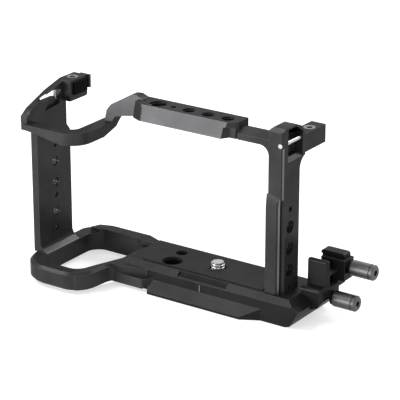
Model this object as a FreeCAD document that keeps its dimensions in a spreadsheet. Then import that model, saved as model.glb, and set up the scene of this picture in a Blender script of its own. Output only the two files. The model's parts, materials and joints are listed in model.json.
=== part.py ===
import FreeCAD, Part
import math
import os
import Sketcher

# Camera cage for a compact mirrorless camera: a milled aluminium ring with a grip loop at the
# top and bottom of its grip side, an upper rail, a slotted side pillar and a cable clamp.
# X runs along the lens plane from the grip side to the clamp side, Y from the lens side to the
# back, Z up. The origin is on the underside, on the axis of the tripod screw.

# Driving sizes in millimetres
SIZES = {
    # Base plate with its rail foot
    "base_left": -40.0,
    "base_right": 50.2,
    "base_top": 12.0,
    "foot_half_width": 19.0,
    "foot_lip": 1.2,
    "neck_half_width": 14.6,
    "neck_bottom": 5.4,
    "top_bevel": 2.4,
    "foot_right": 31.5,
    "foot_left": -28.0,
    "foot_end_run": 10.0,
    "foot_start_run": 3.5,
    "end_slope_run": 6.0,
    "end_slope_drop": 4.4,
    "end_corner_run": 6.2,
    "end_corner_rise": 7.6,
    "seat_x": 44.5,
    "seat_front": -3.4,
    "seat_floor": 5.2,
    # Holes of the base
    "tripod_bore_r": 3.3,
    "tripod_well_r": 8.6,
    "tripod_well_depth": 4.4,
    "wide_hole_x": -20.7,
    "wide_hole_y": -5.4,
    "wide_hole_r": 4.2,
    "side_hole_x": -22.5,
    "side_hole_y": 4.5,
    "side_hole_r": 2.2,
    # Rubber pad on the base
    "pad_left": -35.0,
    "pad_right": 30.0,
    "pad_front": -10.6,
    "pad_back": 9.6,
    "pad_corner": 4.0,
    "pad_sunk": 0.6,
    "pad_thick": 1.0,
    "pad_clearance": 0.05,
    "pad_hole_margin": 0.5,
    # Grip wall
    "wall_in": -79.0,
    "wall_thick": 3.4,
    "wall_front": -26.3,
    "wall_back": -2.6,
    "wall_hole_y": -13.6,
    "wall_gusset": 4.0,
    "wall_hole_top": 50.0,
    "wall_hole_low": 26.0,
    "wall_pin_top": 58.0,
    "wall_pin_mid": 34.0,
    "wall_pin_low": 18.0,
    # Threads and small holes
    "thread_r": 2.9,
    "hole_pitch": 10.0,
    "pin_hole_r": 1.3,
    # Lower grip loop
    "low_loop_bottom": 1.6,
    "low_loop_top": 10.0,
    "low_loop_front": -39.3,
    "low_loop_inner": -33.3,
    "low_loop_back": 14.4,
    "low_loop_back_inner": 8.6,
    "low_loop_rim": 2.0,
    "low_loop_side": 4.4,
    "low_loop_neck": 5.2,
    "low_nose_r": 15.0,
    "low_outer_r": 11.0,
    "low_inner_r": 6.5,
    "low_back_r": 8.0,
    "low_waist_r": 9.0,
    "low_tail_run": 7.0,
    "low_tail_drop": 2.8,
    "low_rim_start": 6.0,
    "low_bevel": 1.2,
    "fascia_front": -18.6,
    "fascia_left": -44.0,
    "insert_thick": 1.6,
    "insert_drop": 1.6,
    # Upper grip loop; the crown, rail and pillar end above its top
    "up_loop_bottom": 67.4,
    "up_loop_tall": 5.4,
    "up_loop_front": -34.2,
    "up_loop_inner": -28.2,
    "up_loop_right": -50.2,
    "up_loop_band": 6.4,
    "up_loop_back": -2.0,
    "up_outer_r": 9.5,
    "up_inner_r": 4.6,
    "arm_deep": 7.0,
    "arm_r": 3.0,
    "arm_sag": 2.6,
    "arm_hump": 1.2,
    "arm_inset": 2.4,
    "heel_run": 6.0,
    # Grip wall crown and lug block, measured down from the crown's top
    "crown_rise": 13.7,
    "crown_front": -33.0,
    "crown_front_drop": 10.5,
    "crown_mid": -16.0,
    "crown_mid_drop": 2.8,
    "crown_back": -4.9,
    "crown_bar": 2.0,
    "lug_in": -75.0,
    "lug_front": -7.0,
    "lug_back": 5.6,
    "lug_tall": 9.5,
    "lug_corner": 1.2,
    "strap_web": 1.5,
    "strap_pin_r": 1.0,
    "left_pin_r": 0.8,
    "left_pin_y": -11.0,
    "left_pin_drop": 2.2,
    "left_pin_long": 5.6,
    # Rail on top, measured down from its top
    "rail_left": -35.0,
    "rail_right": 16.5,
    "rail_front": -14.0,
    "rail_back": -1.8,
    "rail_rise": 12.5,
    "rail_tall": 7.3,
    "rail_lean": 1.4,
    "rail_nose": 1.3,
    "rail_face_right": 10.4,
    "rail_flange": 2.2,
    "rail_hole_y": -7.8,
    "locating_deep": 4.0,
    "large_hole_x": -26.0,
    "large_hole_r": 4.0,
    "locating_pitch": 8.0,
    "link_front": -10.5,
    "link_back": -5.4,
    "link_crease_drop": 4.5,
    "link_drop": 2.1,
    # Side pillar, its head measured down from the top
    "pillar_in": 32.2,
    "pillar_out": 39.4,
    "pillar_front": -10.5,
    "pillar_back": 3.0,
    "pillar_step": 54.2,
    "pillar_step_deep": 0.7,
    "pillar_step_run": 5.6,
    "pillar_over": 1.1,
    "pillar_head_tall": 15.2,
    "pillar_head_back": 7.2,
    "pillar_hole_y": -4.0,
    "pillar_hole_mid": 31.5,
    "pillar_pin_reach": 18.0,
    "pillar_bevel": 1.0,
    "pillar_top_bevel": 1.2,
    "rebate_deep": 1.0,
    "rebate_bevel": 1.9,
    "rebate_back": -8.2,
    "rebate_top": 55.0,
    "link_fillet": 4.5,
    "ear_fillet": 6.0,
    "ear_inset": 0.8,
    "ear_back": 25.0,
    "ear_drop": 7.1,
    "ear_screw_y": 17.4,
    "strap_pocket_deep": 4.2,
    "strap_pocket_front": -6.6,
    "strap_pocket_back": 5.0,
    "strap_pocket_low_drop": 13.8,
    "strap_pocket_high_drop": 4.0,
    "strap_pin_inset": 1.6,
    "strap_pin_drop": 7.4,
    "strap_pin_end": 1.2,
    # Lug screws and pads
    "lug_screw_r": 1.5,
    "lug_screw_head_r": 2.6,
    "lug_screw_head": 1.6,
    "lug_screw_long": 6.0,
    "lug_pad_thick": 1.0,
    # Tripod screw
    "tripod_thread_r": 3.15,
    "tripod_neck_r": 2.6,
    "tripod_rise": 3.0,
    "tripod_ring_r": 4.6,
    "tripod_ring_depth": 2.4,
    "tripod_head_r": 8.0,
    "tripod_head": 2.6,
    "tripod_slot": 1.6,
    "keeper_thick": 0.8,
    "keeper_r": 5.6,
    # Cable clamp
    "clamp_left": 44.6,
    "clamp_right": 55.0,
    "clamp_front": -3.0,
    "clamp_back": 18.4,
    "clamp_bottom": 5.6,
    "clamp_foot_back": 11.6,
    "clamp_sill": 12.6,
    "clamp_floor": 15.2,
    "clamp_plate_front": 1.7,
    "clamp_plate_back": 3.4,
    "clamp_top": 26.8,
    "shelf_low": 19.8,
    "shelf_high": 21.0,
    "shelf_back": 10.0,
    "tongue_left": 48.4,
    "tongue_right": 52.0,
    "tongue_front": 12.6,
    "tongue_top": 23.2,
    "clamp_round": 1.6,
    "plate_round": 1.2,
    "jaw_front": 10.8,
    "jaw_right": 58.0,
    "jaw_cap_right": 56.4,
    "jaw_bottom": 15.6,
    "jaw_lip": 1.0,
    "jaw_shoulder": 24.8,
    "jaw_plate_front": 14.6,
    "jaw_wall_gap": 0.4,
    "jaw_travel": 2.5,
    "lock_y": 15.7,
    "lock_z": 20.7,
    "mount_y": 6.4,
    "mount_z": 9.0,
    "knob_r": 3.5,
    "knob_long": 11.6,
    "knob_neck_r": 2.2,
    "knob_neck": 0.3,
    "knob_bevel": 0.6,
    "knob_ring_deep": 0.35,
    "knob_ring_wide": 0.6,
    "knob_ring_from_end": 1.6,
    "knob_screw_r": 1.5,
    "washer_r": 3.0,
    "washer_thick": 0.5,
    "socket_across": 2.5,
    "socket_deep": 2.6,
    "mount_reach": 17.0,
    "lock_reach": 8.5,
    # Clearances
    "running_gap": 0.05,
}


class Size:
    """A length that knows its number and the sheet expression that gives it."""

    def __init__(self, value, text):
        self.value = float(value)
        self.text = text

    def __add__(self, other):
        other = size(other)
        return Size(self.value + other.value, f"({self.text} + {other.text})")

    def __sub__(self, other):
        other = size(other)
        return Size(self.value - other.value, f"({self.text} - {other.text})")

    def __mul__(self, factor):
        return Size(self.value * factor, f"({self.text} * {factor})")

    def __truediv__(self, factor):
        return Size(self.value / factor, f"({self.text} / {factor})")

    def __neg__(self):
        return Size(-self.value, f"(0 mm - {self.text})")


def size(value):
    """A plain number as a Size; a Size stays as it is."""
    if isinstance(value, Size):
        return value
    return Size(value, f"{value:g} mm" if value >= 0 else f"(0 mm - {-value:g} mm)")


doc = FreeCAD.newDocument("camera_cage")
sheet = doc.addObject("Spreadsheet::Sheet", "Sizes")
for row, (alias, number) in enumerate(SIZES.items(), start=1):
    sheet.set(f"A{row}", alias)
    sheet.set(f"B{row}", f"{number:g}")
    sheet.setAlias(f"B{row}", alias)
doc.recompute()


class Sheet:
    """Gives each cell of the sheet as a Size."""

    def __getattr__(self, alias):
        return Size(sheet.get(alias), f"Sizes.{alias} * 1 mm")


S = Sheet()
PARTS = []


def new_body(label):
    """An empty body for one piece; its label is the node's name."""
    body = doc.addObject("PartDesign::Body", label)
    body.Label = label
    PARTS.append(body)
    return body


def sketch_on(body, name, plane, offset):
    """A sketch on one of the body's origin planes, moved along the plane's normal."""
    sketch = body.newObject("Sketcher::SketchObject", name)
    support = [item for item in body.Origin.OriginFeatures if item.Role == plane][0]
    sketch.AttachmentSupport = [(support, "")]
    sketch.MapMode = "FlatFace"
    sketch.AttachmentOffset = FreeCAD.Placement(FreeCAD.Vector(0, 0, offset.value), FreeCAD.Rotation())
    sketch.setExpression(".AttachmentOffset.Base.z", offset.text)
    return sketch


def bind(sketch, kind, first, second, length):
    """One dimension of a sketch from the origin, bound to the sheet."""
    index = sketch.addConstraint(Sketcher.Constraint(kind, -1, 1, first, second, length.value))
    sketch.setExpression(f"Constraints[{index}]", length.text)


def draw_polygon(sketch, points):
    """A closed outline of straight edges through the points."""
    first = sketch.GeometryCount
    corners = [FreeCAD.Vector(size(x).value, size(y).value, 0) for x, y in points]
    count = len(corners)
    for i in range(count):
        sketch.addGeometry(Part.LineSegment(corners[i], corners[(i + 1) % count]), False)
    for i in range(count):
        after = first + (i + 1) % count
        sketch.addConstraint(Sketcher.Constraint("Coincident", first + i, 2, after, 1))
    for i, (x, y) in enumerate(points):
        bind(sketch, "DistanceX", first + i, 1, size(x))
        bind(sketch, "DistanceY", first + i, 1, size(y))


def draw_circle(sketch, x, y, radius):
    """A circle with its centre and radius bound to the sheet."""
    index = sketch.GeometryCount
    centre = FreeCAD.Vector(size(x).value, size(y).value, 0)
    sketch.addGeometry(Part.Circle(centre, FreeCAD.Vector(0, 0, 1), size(radius).value), False)
    bind(sketch, "DistanceX", index, 3, size(x))
    bind(sketch, "DistanceY", index, 3, size(y))
    rule = sketch.addConstraint(Sketcher.Constraint("Radius", index, size(radius).value))
    sketch.setExpression(f"Constraints[{rule}]", size(radius).text)


def extrude(body, kind, name, plane, outlines, low, high):
    """Pads or pockets the outlines between two positions along the plane's axis."""
    low = size(low)
    high = size(high)
    faces_back = plane == "XZ_Plane"
    if kind == "Pad":
        offset = -high if faces_back else low
    else:
        offset = -low if faces_back else high
    sketch = sketch_on(body, f"{name}_outline", plane, offset)
    for outline in outlines:
        if len(outline) == 3 and not isinstance(outline[0], tuple):
            draw_circle(sketch, *outline)
        else:
            draw_polygon(sketch, outline)
    doc.recompute()
    before = body.Shape.Volume if body.Shape and not body.Shape.isNull() else 0.0
    feature = body.newObject(f"PartDesign::{kind}", name)
    feature.Profile = sketch
    feature.Length = (high - low).value
    feature.setExpression("Length", (high - low).text)
    doc.recompute()
    after = body.Shape.Volume
    if kind == "Pad" and after <= before or kind == "Pocket" and after >= before:
        raise RuntimeError(f"{body.Label}: {name} changed nothing")
    return feature


def pad(body, name, plane, outline, low, high):
    return extrude(body, "Pad", name, plane, [outline], low, high)


def pocket(body, name, plane, outline, low, high):
    return extrude(body, "Pocket", name, plane, [outline], low, high)


def bores(body, name, plane, centres, radius, low, high):
    """A group of round holes of one radius."""
    return extrude(body, "Pocket", name, plane, [(x, y, radius) for x, y in centres], low, high)


def dress(body, kind, name, amount, chosen):
    """A fillet or chamfer on each edge that the test chooses."""
    base = body.Tip
    edges = [f"Edge{i}" for i, edge in enumerate(base.Shape.Edges, start=1) if chosen(edge)]
    if not edges:
        raise RuntimeError(f"{body.Label}: {name} found no edge")
    feature = body.newObject(f"PartDesign::{kind}", name)
    feature.Base = (base, edges)
    rule = "Radius" if kind == "Fillet" else "Size"
    setattr(feature, rule, size(amount).value)
    feature.setExpression(rule, size(amount).text)
    doc.recompute()
    return feature


def along(edge, axis):
    """True for a straight edge that runs along the axis (0, 1 or 2)."""
    if len(edge.Vertexes) != 2:
        return False
    chord = edge.Vertexes[1].Point - edge.Vertexes[0].Point
    return abs(abs(chord[axis]) - edge.Length) < 1e-6


def middle(edge):
    return edge.CenterOfMass


def near(edge, **places):
    """True where the edge's middle lies at each given place."""
    point = middle(edge)
    return all(abs(getattr(point, axis) - size(place).value) < 0.02 for axis, place in places.items())


def box(x0, y0, x1, y1):
    """Corners of a rectangle."""
    return [(x0, y0), (x1, y0), (x1, y1), (x0, y1)]


def arc(x, y, radius, degrees):
    """Points on a circle about (x, y), at these angles from straight down."""
    turns = [math.radians(angle) for angle in degrees]
    return [(x + radius * round(math.sin(turn), 5), y - radius * round(math.cos(turn), 5))
            for turn in turns]


# Half the width across a hexagon's points, for a width across flats of 1
HEX_POINT = 0.57735


def hexagon(x, y, across):
    """Corners of a hexagon of the given width across its flats."""
    half = across / 2
    point = across * HEX_POINT
    return [
        (x + point, y), (x + point / 2, y + half), (x - point / 2, y + half),
        (x - point, y), (x - point / 2, y - half), (x + point / 2, y - half),
    ]


# Heights at the top of the ring
up_loop_top = S.up_loop_bottom + S.up_loop_tall
crown_top = up_loop_top + S.crown_rise
rail_top = up_loop_top + S.rail_rise
pillar_top = rail_top + S.pillar_over

# Base plate: a dovetail rail foot along its underside, a bevelled deck and a stepped clamp end
base = new_body("base_plate")
foot = S.foot_half_width
neck = S.neck_half_width
deck = S.base_top - S.top_bevel
pad(base, "rail_section", "YZ_Plane", [
    (-foot, 0), (foot, 0), (foot, S.foot_lip), (neck, S.neck_bottom), (neck, deck),
    (neck - S.top_bevel, S.base_top), (-(neck - S.top_bevel), S.base_top), (-neck, deck),
    (-neck, S.neck_bottom), (-foot, S.foot_lip),
], S.base_left, S.base_right)
for side, name in ((1, "back"), (-1, "front")):
    inner = neck * side
    outer = (foot + 1) * side
    pocket(base, f"foot_end_{name}", "XY_Plane", [
        (S.foot_right - S.foot_end_run, outer), (S.foot_right, inner), (S.base_right + 1, inner),
        (S.base_right + 1, outer),
    ], -1, S.neck_bottom)
    pocket(base, f"foot_start_{name}", "XY_Plane", [
        (S.foot_left + S.foot_start_run, outer), (S.foot_left, inner), (S.base_left - 1, inner),
        (S.base_left - 1, outer),
    ], -1, S.neck_bottom)
pocket(base, "end_slope", "XZ_Plane", [
    (S.base_right - S.end_slope_run, S.base_top), (S.base_right, S.base_top - S.end_slope_drop),
    (S.base_right + 1, S.base_top - S.end_slope_drop), (S.base_right + 1, S.base_top + 1),
    (S.base_right - S.end_slope_run, S.base_top + 1),
], -foot, foot)
pocket(base, "end_corner", "XZ_Plane", [
    (S.base_right - S.end_corner_run, -1), (S.base_right - S.end_corner_run, 0),
    (S.base_right - S.end_corner_run * 0.64, S.end_corner_rise * 0.1),
    (S.base_right - S.end_corner_run * 0.26, S.end_corner_rise * 0.55), (S.base_right, S.end_corner_rise),
    (S.base_right + 1, S.end_corner_rise), (S.base_right + 1, -1),
], -foot, foot)
pocket(base, "clamp_seat", "XY_Plane", box(S.seat_x, S.seat_front, S.base_right + 1, foot), S.seat_floor,
       S.base_top + 1)
gap = S.pad_clearance
pocket(base, "pad_recess", "XY_Plane", box(S.pad_left - gap, S.pad_front - gap, S.pad_right + gap,
                                           S.pad_back + gap),
       S.base_top - S.pad_sunk, S.base_top + 1)
dress(base, "Fillet", "pad_recess_corner", S.pad_corner,
      lambda e: along(e, 2) and near(e, x=S.pad_left - gap, z=S.base_top - S.pad_sunk / 2))
bores(base, "tripod_bore", "XY_Plane", [(0, 0)], S.tripod_bore_r, -1, S.base_top + 1)
bores(base, "tripod_ring", "XY_Plane", [(0, 0)], S.tripod_ring_r, S.base_top - S.tripod_ring_depth,
      S.base_top + 1)
bores(base, "tripod_well", "XY_Plane", [(0, 0)], S.tripod_well_r, -1, S.tripod_well_depth)
bores(base, "wide_hole", "XY_Plane", [(S.wide_hole_x, S.wide_hole_y)], S.wide_hole_r, -1, S.base_top + 1)
bores(base, "side_hole", "XY_Plane", [(S.side_hole_x, S.side_hole_y)], S.side_hole_r, -1, S.base_top + 1)
bores(base, "mount_thread", "YZ_Plane", [(S.mount_y, S.mount_z)], S.knob_screw_r + S.running_gap,
      S.clamp_right - S.mount_reach - 1, S.base_right)

# Rubber pad: the camera's sole rests on it
deck_pad = new_body("base_pad")
pad_low = S.base_top - S.pad_sunk
pad(deck_pad, "sheet", "XY_Plane", box(S.pad_left, S.pad_front, S.pad_right, S.pad_back), pad_low,
    pad_low + S.pad_thick)
dress(deck_pad, "Fillet", "corner", S.pad_corner, lambda e: along(e, 2) and near(e, x=S.pad_left))
bores(deck_pad, "tripod_bore", "XY_Plane", [(0, 0)], S.tripod_ring_r, 0, S.base_top + 1)
bores(deck_pad, "wide_hole", "XY_Plane", [(S.wide_hole_x, S.wide_hole_y)],
      S.wide_hole_r + S.pad_hole_margin,
      0, S.base_top + 1)
bores(deck_pad, "side_hole", "XY_Plane", [(S.side_hole_x, S.side_hole_y)],
      S.side_hole_r + S.pad_hole_margin,
      0, S.base_top + 1)

# Grip wall: tall plate on the grip side, with the strap slot and the lug block at its crown
wall = new_body("grip_wall")
wall_out = S.wall_in - S.wall_thick
lug_bottom = crown_top - S.lug_tall
crown_mid_top = crown_top - S.crown_mid_drop
crown_front_top = crown_top - S.crown_front_drop
pad(wall, "plate", "YZ_Plane", [
    (S.wall_front, S.low_loop_top), (S.wall_back, S.low_loop_top), (S.wall_back, S.up_loop_bottom - 5),
    (S.crown_back, S.up_loop_bottom - 2), (S.crown_back, lug_bottom), (S.lug_back, lug_bottom),
    (S.lug_back, crown_top), (S.crown_back, crown_top), (S.crown_mid, crown_mid_top),
    (S.crown_front + S.crown_bar * 2, crown_front_top + S.crown_bar * 1.4),
    (S.crown_front, crown_front_top),
    (S.crown_front, up_loop_top), (S.up_loop_inner, up_loop_top), (S.up_loop_inner, S.up_loop_bottom),
    (S.wall_front, S.up_loop_bottom),
], wall_out, S.wall_in)
pad(wall, "lug_block", "XY_Plane", box(S.wall_in - 0.5, S.lug_front, S.lug_in, S.lug_back), lug_bottom,
    crown_top)
pad(wall, "lug_lip", "XY_Plane", box(S.wall_in - 0.5, S.lug_back - 0.1, S.lug_in + S.lug_corner,
                                     S.lug_back + S.lug_corner),
    crown_top - S.lug_tall * 0.62, crown_top)
pad(wall, "gusset", "XZ_Plane", [
    (S.wall_in - 0.5, S.low_loop_top), (S.wall_in + S.wall_gusset, S.low_loop_top),
    (S.wall_in + S.wall_gusset * 0.3, S.low_loop_top + S.wall_gusset * 0.35),
    (S.wall_in, S.low_loop_top + S.wall_gusset),
    (S.wall_in - 0.5, S.low_loop_top + S.wall_gusset),
], S.wall_front, S.wall_back)
pocket(wall, "crown_recess", "YZ_Plane", [
    (S.crown_front + 1.5, up_loop_top + 3.7), (S.crown_front + 2.9, up_loop_top + 5.6),
    (S.crown_front + 6.5, crown_front_top + 4.2), (S.crown_mid - 5.6, crown_mid_top - 2.9),
    (S.crown_mid - 0.6, crown_mid_top - 2.6), (S.crown_mid + 6.7, crown_mid_top - 5.7),
    (S.crown_mid + 8, crown_mid_top - 0.9), (S.crown_mid + 1.7, crown_mid_top + 0.6 - S.crown_bar * 0.4),
    (S.crown_mid - 8.3, crown_mid_top - 1.3 - S.crown_bar * 0.4),
    (S.crown_front + 1.2, up_loop_top + 4.2),
], S.wall_in - S.strap_web, S.wall_in + 1)
pocket(wall, "strap_slot", "YZ_Plane", [
    (S.crown_mid - 5.6, crown_mid_top - 3.9), (S.crown_mid + 4.4, crown_mid_top - 3.9),
    (S.crown_mid + 7.4, crown_mid_top - 5.0), (S.crown_mid + 7.4, crown_mid_top - 1.2),
    (S.crown_mid + 1.6, crown_mid_top - 0.6), (S.crown_mid - 5.6, crown_mid_top - 2.2),
], wall_out - 1, S.wall_in + 1)
pocket(wall, "strap_relief", "YZ_Plane", [
    (S.crown_mid - 4.4, crown_mid_top - 8.4), (S.crown_mid + 6.3, crown_mid_top - 7.3),
    (S.crown_mid + 6.7, crown_mid_top - 5.9), (S.crown_mid - 0.6, crown_mid_top - 3.4),
], S.wall_in - S.strap_web, S.wall_in + 1)
for name, height in (("high", S.wall_hole_top), ("middle", S.wall_hole_top - S.hole_pitch),
                     ("low", S.wall_hole_low)):
    bores(wall, f"thread_{name}", "YZ_Plane", [(S.wall_hole_y, height)], S.thread_r, wall_out - 1,
          S.wall_in + 1)
bores(wall, "pin_holes", "YZ_Plane", [(S.wall_hole_y, S.wall_pin_top), (S.wall_hole_y, S.wall_pin_mid),
                                      (S.wall_hole_y,
                                       S.wall_pin_low)], S.pin_hole_r, wall_out - 1, S.wall_in + 1)
left_pin_high = crown_top - S.left_pin_drop
left_pin_low = left_pin_high - S.left_pin_long
bores(wall, "strap_pin_bore", "XY_Plane", [(S.wall_in - S.wall_thick / 2, S.left_pin_y)], S.left_pin_r,
      left_pin_low, left_pin_high)
bores(wall, "lug_screw_bore", "XY_Plane", [(S.wall_in, 0)], S.lug_screw_r + S.running_gap,
      lug_bottom - 1, crown_top + 1)
bores(wall, "lug_screw_well", "XY_Plane", [(S.wall_in, 0)], S.lug_screw_head_r + S.running_gap,
      crown_top - S.lug_screw_head, crown_top + 1)
dress(wall, "Fillet", "lug_corner", S.lug_corner,
      lambda e: along(e, 0) and near(e, y=S.lug_back, z=lug_bottom))

# Lower grip loop: closed ring in front of and behind the battery door
low_loop = new_body("lower_grip_loop")
ring_right = S.base_left - S.low_loop_neck
tail_side = (S.base_left, S.low_loop_back - S.low_tail_drop)
tail_back = (S.base_left - S.low_tail_run, S.low_loop_back)
outer_ring = [
    (wall_out, S.low_loop_front), (ring_right - 2, S.low_loop_front),
    (ring_right, S.low_loop_front + S.low_waist_r * 2),
    (S.fascia_left, S.fascia_front), (S.foot_left, S.fascia_front), (S.foot_left, -neck),
    (S.base_left, -neck),
    tail_side, tail_back, (wall_out, S.low_loop_back),
]
inner_left = S.wall_in + S.low_loop_side
inner_right = ring_right - S.low_loop_side
inner_ring = [
    (inner_left, S.low_loop_inner), (inner_right - 3, S.low_loop_inner),
    (inner_right, S.low_loop_inner + S.low_waist_r),
    (S.base_left - S.low_loop_side, -neck + S.low_loop_side),
    (S.base_left - S.low_loop_side, S.low_loop_back_inner),
    (inner_left, S.low_loop_back_inner),
]
pad(low_loop, "ring", "XY_Plane", outer_ring, S.low_loop_bottom, S.low_loop_top)
rim_left = wall_out + S.low_rim_start
pad(low_loop, "back_rim", "XY_Plane", [
    (rim_left, S.low_loop_back_inner - 1), (S.base_left, S.low_loop_back_inner - 1), tail_side, tail_back,
    (rim_left + S.low_back_r, S.low_loop_back), (rim_left + 2, S.low_loop_back - 2),
], S.low_loop_bottom + 1, S.low_loop_top + S.low_loop_rim)
dress(low_loop, "Fillet", "nose", S.low_nose_r,
      lambda e: along(e, 2) and near(e, x=wall_out, y=S.low_loop_front))
dress(low_loop, "Fillet", "front_corner", S.low_outer_r,
      lambda e: along(e, 2) and near(e, x=ring_right - 2, y=S.low_loop_front))
dress(low_loop, "Fillet", "back_corners", S.low_back_r,
      lambda e: along(e, 2) and near(e, x=wall_out, y=S.low_loop_back))
dress(low_loop, "Fillet", "waist", S.low_waist_r,
      lambda e: along(e, 2) and near(e, x=ring_right, y=S.low_loop_front + S.low_waist_r * 2))
pocket(low_loop, "battery_opening", "XY_Plane", inner_ring, 0, S.low_loop_top + S.low_loop_rim + 1)
inner_corners = (inner_ring[0], inner_ring[1], inner_ring[4], inner_ring[5])
dress(low_loop, "Fillet", "opening_corners", S.low_inner_r,
      lambda e: along(e, 2) and any(near(e, x=x, y=y) for x, y in inner_corners))
dress(low_loop, "Chamfer", "front_bevel", S.low_bevel,
      lambda e: near(e, y=S.low_loop_front, z=S.low_loop_top) or near(e, y=S.low_loop_front,
                                                                      z=S.low_loop_bottom))

# Grip insert: moulded strip let into the outer face of the lower loop
insert = new_body("grip_insert")
insert_low = S.low_loop_bottom + S.insert_drop
insert_high = S.low_loop_top - S.insert_drop
corner_x = ring_right - 2 - S.low_outer_r * 0.896
corner_y = S.low_loop_front + S.low_outer_r
insert_turn = (33, 43, 53, 63, 73, 83)
end_x = ring_right - 0.35
end_y = corner_y + 4
insert_outline = arc(corner_x, corner_y, S.low_outer_r, insert_turn) + [(end_x, end_y),
                                                                        (end_x - S.insert_thick, end_y)]
insert_outline += arc(corner_x, corner_y, S.low_outer_r - S.insert_thick, insert_turn[::-1])
pad(insert, "strip", "XY_Plane", insert_outline, insert_low, insert_high)
pocket(low_loop, "insert_recess", "XY_Plane", insert_outline, insert_low, insert_high)

# Upper grip loop: band round the top of the grip and the arm that climbs to the rail
up_loop = new_body("upper_grip_loop")
band_in = S.up_loop_right - S.up_loop_band
rail_bottom = rail_top - S.rail_tall
pad(up_loop, "band", "XY_Plane", [
    (wall_out, S.up_loop_inner), (wall_out, S.up_loop_front), (S.up_loop_right, S.up_loop_front),
    (S.up_loop_right, S.up_loop_back), (band_in, S.up_loop_back), (band_in, S.up_loop_inner),
], S.up_loop_bottom, up_loop_top)
dress(up_loop, "Fillet", "outer_corner", S.up_outer_r,
      lambda e: along(e, 2) and near(e, x=S.up_loop_right, y=S.up_loop_front))
dress(up_loop, "Fillet", "left_corner", S.up_loop_band * 0.9,
      lambda e: along(e, 2) and near(e, x=wall_out, y=S.up_loop_front))
dress(up_loop, "Fillet", "inner_corner", S.up_inner_r,
      lambda e: along(e, 2) and near(e, x=band_in, y=S.up_loop_inner))
arm_front = S.up_loop_back - S.arm_deep
arm_left = band_in + S.arm_inset
arm_shoulder = (arm_left + 2.4, rail_top - 5)
pad(up_loop, "arm", "XZ_Plane", [
    (arm_left, up_loop_top - 1), (S.up_loop_right, up_loop_top - 1),
    (S.up_loop_right, rail_bottom - S.arm_sag), (S.rail_left, rail_bottom), (S.rail_left, rail_top),
    (S.rail_left - 3.5, rail_top + S.arm_hump), (S.rail_left - 6.5, rail_top + S.arm_hump * 0.8),
    arm_shoulder, (arm_left + 0.4, rail_bottom - 0.4), (arm_left, rail_bottom - 3),
], arm_front, S.up_loop_back)
dress(up_loop, "Fillet", "arm_corners", S.arm_r,
      lambda e: along(e, 1) and (near(e, x=arm_shoulder[0], z=arm_shoulder[1])
                                 or near(e, x=S.up_loop_right, z=rail_bottom - S.arm_sag)))
pocket(up_loop, "arm_heel", "YZ_Plane", [
    (arm_front - S.heel_run, S.up_loop_bottom), (arm_front + 3, S.up_loop_bottom + 2.6),
    (S.up_loop_back + 1, rail_bottom - 3.4), (S.up_loop_back + 1, S.up_loop_bottom - 1),
    (arm_front - S.heel_run, S.up_loop_bottom - 1),
], band_in - 1, S.rail_left + 1)
pocket(up_loop, "arm_lean", "YZ_Plane", [
    (arm_front - 1, up_loop_top), (arm_front, up_loop_top),
    (arm_front + S.rail_lean * 1.5, rail_top + S.arm_hump),
    (arm_front + S.rail_lean * 1.5, rail_top + S.arm_hump + 1),
    (arm_front - 1, rail_top + S.arm_hump + 1),
], band_in - 1, S.rail_left + 1)

# Top rail: accessory bar with threaded holes, a leaning front face and a flange at its end
rail = new_body("top_rail")
pad(rail, "bar", "YZ_Plane", [
    (S.rail_front, rail_bottom), (S.rail_back, rail_bottom), (S.rail_back, rail_top),
    (S.rail_front + S.rail_lean, rail_top),
], S.rail_left, S.rail_right)
flange_bottom = rail_top - S.rail_flange
pocket(rail, "left_nose", "XY_Plane", [
    (S.rail_left, S.rail_front + S.rail_nose), (S.rail_left + S.rail_nose, S.rail_front),
    (S.rail_left + S.rail_nose, S.rail_front - 1), (S.rail_left - 1, S.rail_front - 1),
    (S.rail_left - 1, S.rail_front + S.rail_nose),
], rail_bottom - 1, rail_top + 1)
pocket(rail, "right_nose", "XY_Plane", [
    (S.rail_face_right, S.rail_front), (S.rail_right - 1.6, S.rail_front + 2.6),
    (S.rail_right, S.rail_front + 5),
    (S.rail_right + 1, S.rail_front + 5), (S.rail_right + 1, S.rail_front - 1),
    (S.rail_face_right, S.rail_front - 1),
], rail_bottom - 1, rail_top + 1)
pocket(rail, "undercut", "XY_Plane", [
    (S.rail_face_right, S.rail_front - 1), (S.rail_face_right, S.rail_front),
    (S.rail_face_right + 2.2, S.link_front),
    (S.rail_right + 1, S.link_front), (S.rail_right + 1, S.rail_front - 1),
], rail_bottom - 1, flange_bottom)
bores(rail, "threads", "XY_Plane", [(-S.hole_pitch, S.rail_hole_y), (0, S.rail_hole_y),
                                    (S.hole_pitch, S.rail_hole_y)],
      S.thread_r, rail_bottom - 1, rail_top + 1)
bores(rail, "large_thread", "XY_Plane", [(S.large_hole_x, S.rail_hole_y)], S.large_hole_r,
      rail_bottom - 1, rail_top + 1)
bores(rail, "locating_holes", "XY_Plane", [(S.large_hole_x - S.locating_pitch, S.rail_hole_y),
                                           (S.large_hole_x + S.locating_pitch, S.rail_hole_y)],
      S.pin_hole_r, rail_top - S.locating_deep, rail_top + 1)

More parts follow.
